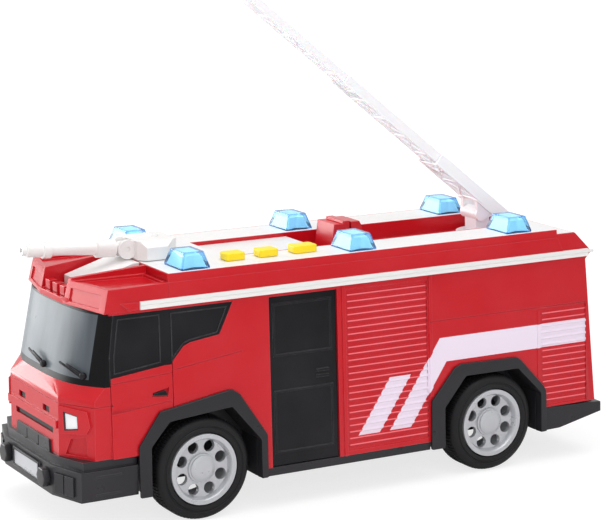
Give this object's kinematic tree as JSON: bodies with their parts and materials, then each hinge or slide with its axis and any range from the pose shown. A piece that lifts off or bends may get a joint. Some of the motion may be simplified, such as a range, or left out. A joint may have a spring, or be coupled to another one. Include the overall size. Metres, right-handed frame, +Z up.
{
  "type": "toy fire engine",
  "caption": "Toy fire engine: hollow moulded body with cab, roof deck with blue beacons, telescopic turntable ladder, tilting water cannon and rolling wheels.",
  "frame": {"origin": "on the floor, midway between the two axles and on the centre plane", "axes": "+X forward, +Y to the left side, +Z up"},
  "size_m": [0.2796, 0.0908, 0.2214],
  "materials": {
    "red_plastic": "gloss moulded plastic",
    "white_plastic": "semi-gloss moulded plastic",
    "ladder_plastic": "slightly translucent moulded plastic",
    "smoke_screen": "smoke tinted gloss plastic",
    "black_gloss": "gloss black plastic",
    "dark_plastic": "matt dark grey plastic",
    "silver_plastic": "silver painted plastic",
    "lamp_white": "clear white lamp plastic",
    "lamp_red": "clear red lamp plastic",
    "beacon_blue": "clear blue plastic",
    "button_yellow": "satin moulded plastic",
    "inner_block": "matt plastic",
    "axle_steel": "drawn steel",
    "tyre_rubber": "matt rubber-like plastic"
  },
  "bodies": {
    "body": {"body_shell": "red_plastic", "cab_roof": "red_plastic", "roof_deck": "white_plastic", "centre_deck": "white_plastic", "roof_ramp": "white_plastic", "marker_blocks": "red_plastic", "windscreen": "smoke_screen", "side_windows_left": "black_gloss", "side_windows_right": "black_gloss", "crew_door_left": "black_gloss", "crew_door_right": "black_gloss", "awning_left": "white_plastic", "awning_right": "white_plastic", "door_handles": "black_gloss", "grille": "dark_plastic", "headlights": "lamp_white", "fog_lamps": "silver_plastic", "tail_lamps": "lamp_red", "front_bumper": "dark_plastic", "overriders": "dark_plastic", "plate_front": "silver_plastic", "plate_rear": "silver_plastic", "rear_bumper": "dark_plastic", "chassis": "dark_plastic", "arch_front_left": "dark_plastic", "arch_front_right": "dark_plastic", "arch_rear_left": "dark_plastic", "arch_rear_right": "dark_plastic", "wipers": "black_gloss", "beacon_front_left": "beacon_blue", "beacon_front_right": "beacon_blue", "beacon_middle_left": "beacon_blue", "beacon_middle_right": "beacon_blue", "beacon_rear_left": "beacon_blue", "beacon_rear_right": "beacon_blue", "button_front": "button_yellow", "button_middle": "button_yellow", "button_rear": "button_yellow", "ladder_rest": "red_plastic", "battery_door": "dark_plastic", "battery_pack": "inner_block", "drive_block": "inner_block"},
    "front_axle": {"front_axle_rod": "axle_steel", "front_tyre_left": "tyre_rubber", "front_tyre_right": "tyre_rubber", "front_rim_left": "silver_plastic", "front_rim_right": "silver_plastic"},
    "rear_axle": {"rear_axle_rod": "axle_steel", "rear_tyre_left": "tyre_rubber", "rear_tyre_right": "tyre_rubber", "rear_rim_left": "silver_plastic", "rear_rim_right": "silver_plastic"},
    "turntable": {"turntable": "ladder_plastic"},
    "ladder_lower": {"ladder_lower": "ladder_plastic"},
    "ladder_middle": {"ladder_middle": "ladder_plastic"},
    "ladder_upper": {"ladder_upper": "ladder_plastic"},
    "cannon_turret": {"cannon_turret": "white_plastic"},
    "cannon_barrel": {"cannon_barrel": "white_plastic"}
  },
  "joints": [
    {"name": "front_axle_spin", "type": "hinge", "parent": "body", "child": "front_axle", "pos_m": [0.075, 0, 0.0229], "axis": [0, 1, 0], "continuous": true},
    {"name": "rear_axle_spin", "type": "hinge", "parent": "body", "child": "rear_axle", "pos_m": [-0.075, 0, 0.0229], "axis": [0, 1, 0], "continuous": true},
    {"name": "turntable_turn", "type": "hinge", "parent": "body", "child": "turntable", "pos_m": [-0.098, 0, 0.1023], "axis": [0, 0, 1], "continuous": true},
    {"name": "ladder_raise", "type": "hinge", "parent": "turntable", "child": "ladder_lower", "pos_m": [-0.09255, 0, 0.1136], "axis": [0, -1, 0], "range_deg": [-38.5, 26.5]},
    {"name": "ladder_extend_middle", "type": "slide", "parent": "ladder_lower", "child": "ladder_middle", "axis": [0.7826, 0, 0.6225], "range_m": [-0.032, 0]},
    {"name": "ladder_extend_upper", "type": "slide", "parent": "ladder_middle", "child": "ladder_upper", "axis": [0.7826, 0, 0.6225], "range_m": [-0.062, 0]},
    {"name": "cannon_turn", "type": "hinge", "parent": "body", "child": "cannon_turret", "pos_m": [0.079, 0, 0.1095], "axis": [0, 0, 1], "range_deg": [-60, 60]},
    {"name": "cannon_tilt", "type": "hinge", "parent": "cannon_turret", "child": "cannon_barrel", "pos_m": [0.092, 0, 0.1143], "axis": [0, -1, 0], "range_deg": [-6, 31]}
  ]
}
